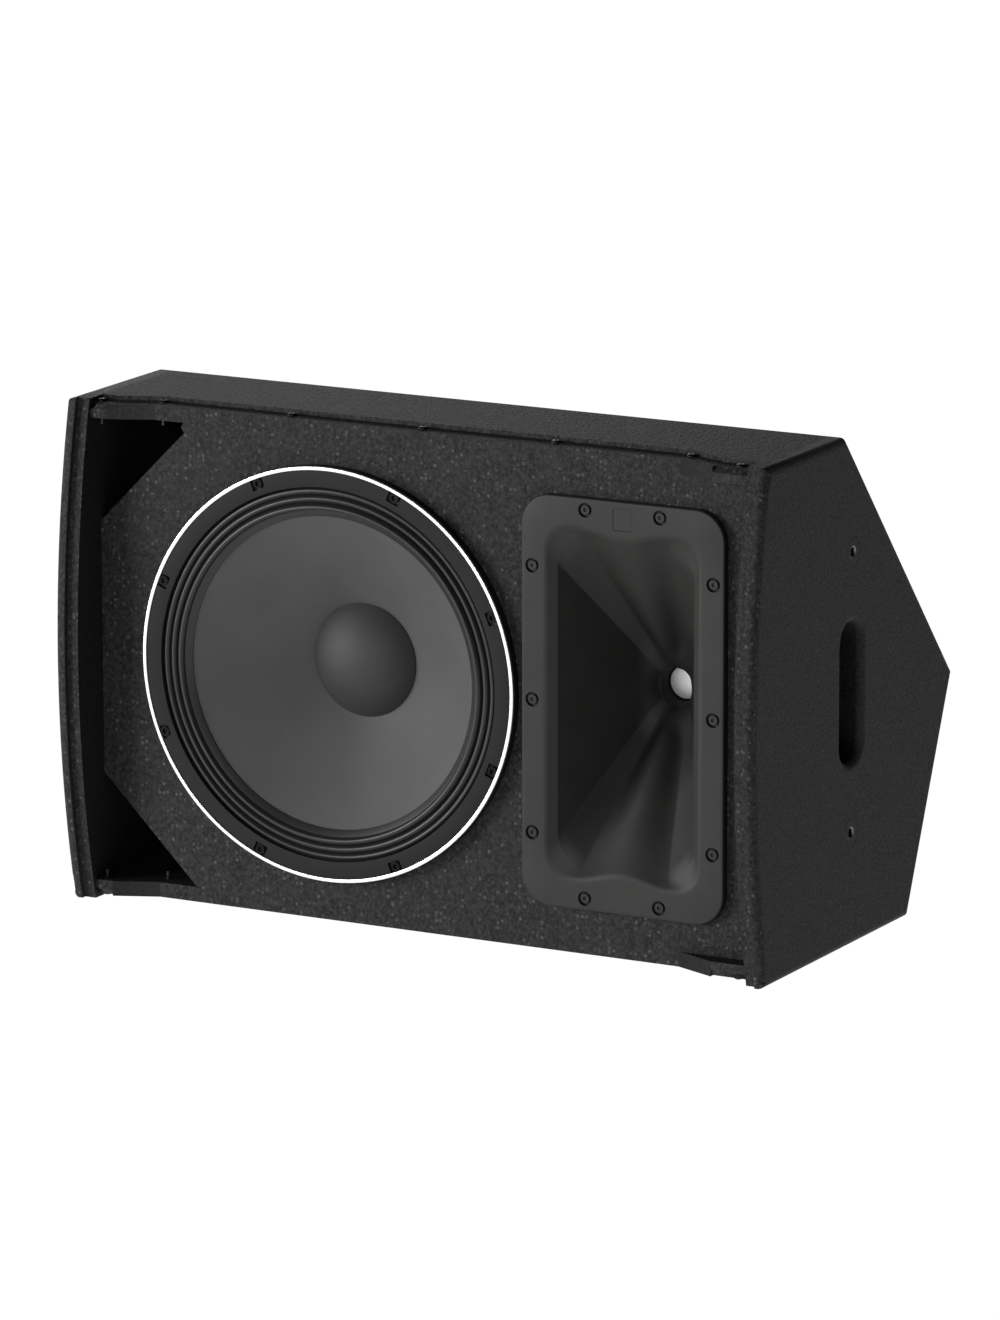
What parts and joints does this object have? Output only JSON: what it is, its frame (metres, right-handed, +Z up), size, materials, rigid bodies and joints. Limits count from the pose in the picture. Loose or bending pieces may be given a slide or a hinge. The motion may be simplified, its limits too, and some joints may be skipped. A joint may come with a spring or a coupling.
{
  "type": "pa speaker cabinet",
  "caption": "Wedge-section two-way loudspeaker cabinet with a large woofer, a horn, corner bass ports, hand slots and threaded fly points, grille removed.",
  "frame": {"origin": "on the floor plane under the middle of the cabinet's box, which stands on its long side", "axes": "+X from the woofer end to the horn end, -Y the way the drivers face, +Z up"},
  "size_m": [0.72, 0.414, 0.473],
  "materials": {
    "cabinet_coat": "black textured polyurea coat over birch plywood",
    "raw_plywood": "unfinished birch",
    "wadding": "grey polyester wadding",
    "black_plastic": "moulded, fine sheen",
    "zinc_steel": "zinc plated",
    "rubber": "matt",
    "bright_aluminium": "machined bright",
    "gasket_black": "satin moulded ring",
    "basket_casting": "black coated die casting",
    "surround_cloth": "doped pleated cloth",
    "cone_paper": "coated paper pulp",
    "spider_cloth": "resin impregnated cotton",
    "coil_former": "glass fibre former",
    "copper": "enamelled copper",
    "plated_iron": "zinc plated low carbon steel",
    "ferrite": "sintered ferrite, matt",
    "horn_plastic": "satin moulded, fine grain",
    "black_screw": "black zinc",
    "titanium": "thin drawn metal",
    "terminal_red": "moulded",
    "brass": "plated",
    "socket_plastic": "glass filled nylon",
    "switch_white": "moulded",
    "board_green": "solder masked laminate",
    "capacitor_blue": "film sleeve",
    "resistor_ceramic": "cement",
    "cable_jacket": "PVC jacket",
    "braid": "braided copper lead"
  },
  "bodies": {
    "cabinet": {"end_panel_right": "cabinet_coat", "end_panel_left": "cabinet_coat", "top_panel": "cabinet_coat", "bottom_panel": "cabinet_coat", "upper_back_panel": "cabinet_coat", "lower_back_panel": "cabinet_coat", "front_baffle": "cabinet_coat", "port_board_upper": "cabinet_coat", "port_board_lower": "cabinet_coat", "baffle_cleats": "raw_plywood", "cabinet_brace": "raw_plywood", "acoustic_lining": "wadding", "handle_cup_right": "black_plastic", "handle_cup_left": "black_plastic", "handle_screws": "zinc_steel", "fly_point_inserts": "black_screw", "rubber_feet": "rubber", "grille_screws_top": "black_screw", "grille_screws_bottom": "black_screw", "woofer_trim_ring": "bright_aluminium", "woofer_gasket_ring": "gasket_black", "woofer_basket": "basket_casting", "woofer_screws": "zinc_steel", "woofer_tee_nuts": "zinc_steel", "woofer_surround": "surround_cloth", "woofer_spider": "spider_cloth", "woofer_top_plate": "plated_iron", "woofer_magnet": "ferrite", "woofer_yoke": "plated_iron", "woofer_terminal_block": "terminal_red", "woofer_terminal_tabs": "brass", "tinsel_leads": "braid", "horn": "horn_plastic", "horn_screws": "black_screw", "horn_badge": "horn_plastic", "driver_yoke": "plated_iron", "driver_magnet": "ferrite", "driver_top_plate": "plated_iron", "phase_plug": "bright_aluminium", "driver_rear_cover": "black_plastic", "driver_bolts": "zinc_steel", "driver_terminals": "terminal_red", "input_dish": "black_plastic", "input_dish_screws": "black_screw", "speaker_sockets": "socket_plastic", "socket_tabs": "brass", "mode_switch_body": "black_plastic", "crossover_board": "board_green", "crossover_standoffs": "zinc_steel", "crossover_inductors": "copper", "crossover_capacitors": "capacitor_blue", "crossover_resistors": "resistor_ceramic", "internal_cables": "cable_jacket"},
    "cone_assembly": {"woofer_cone": "cone_paper", "woofer_dust_cap": "cone_paper", "voice_coil_former": "coil_former", "voice_coil_winding": "copper"},
    "diaphragm": {"driver_diaphragm": "titanium", "driver_coil": "copper"},
    "switch_lever": {"mode_switch_lever": "switch_white"}
  },
  "joints": [
    {"name": "cone_travel", "type": "slide", "parent": "cabinet", "child": "cone_assembly", "axis": [0, 1, 0], "range_m": [-0.0075, 0.0075], "stiffness_N_per_m": 5000, "deforming": ["woofer_surround", "woofer_spider", "tinsel_leads"]},
    {"name": "diaphragm_travel", "type": "slide", "parent": "cabinet", "child": "diaphragm", "axis": [0, 1, 0], "range_m": [-0.0004, 0.0004], "stiffness_N_per_m": 400},
    {"name": "mode_switch_slide", "type": "slide", "parent": "cabinet", "child": "switch_lever", "axis": [1, 0, 0], "range_m": [0, 0.006]}
  ]
}
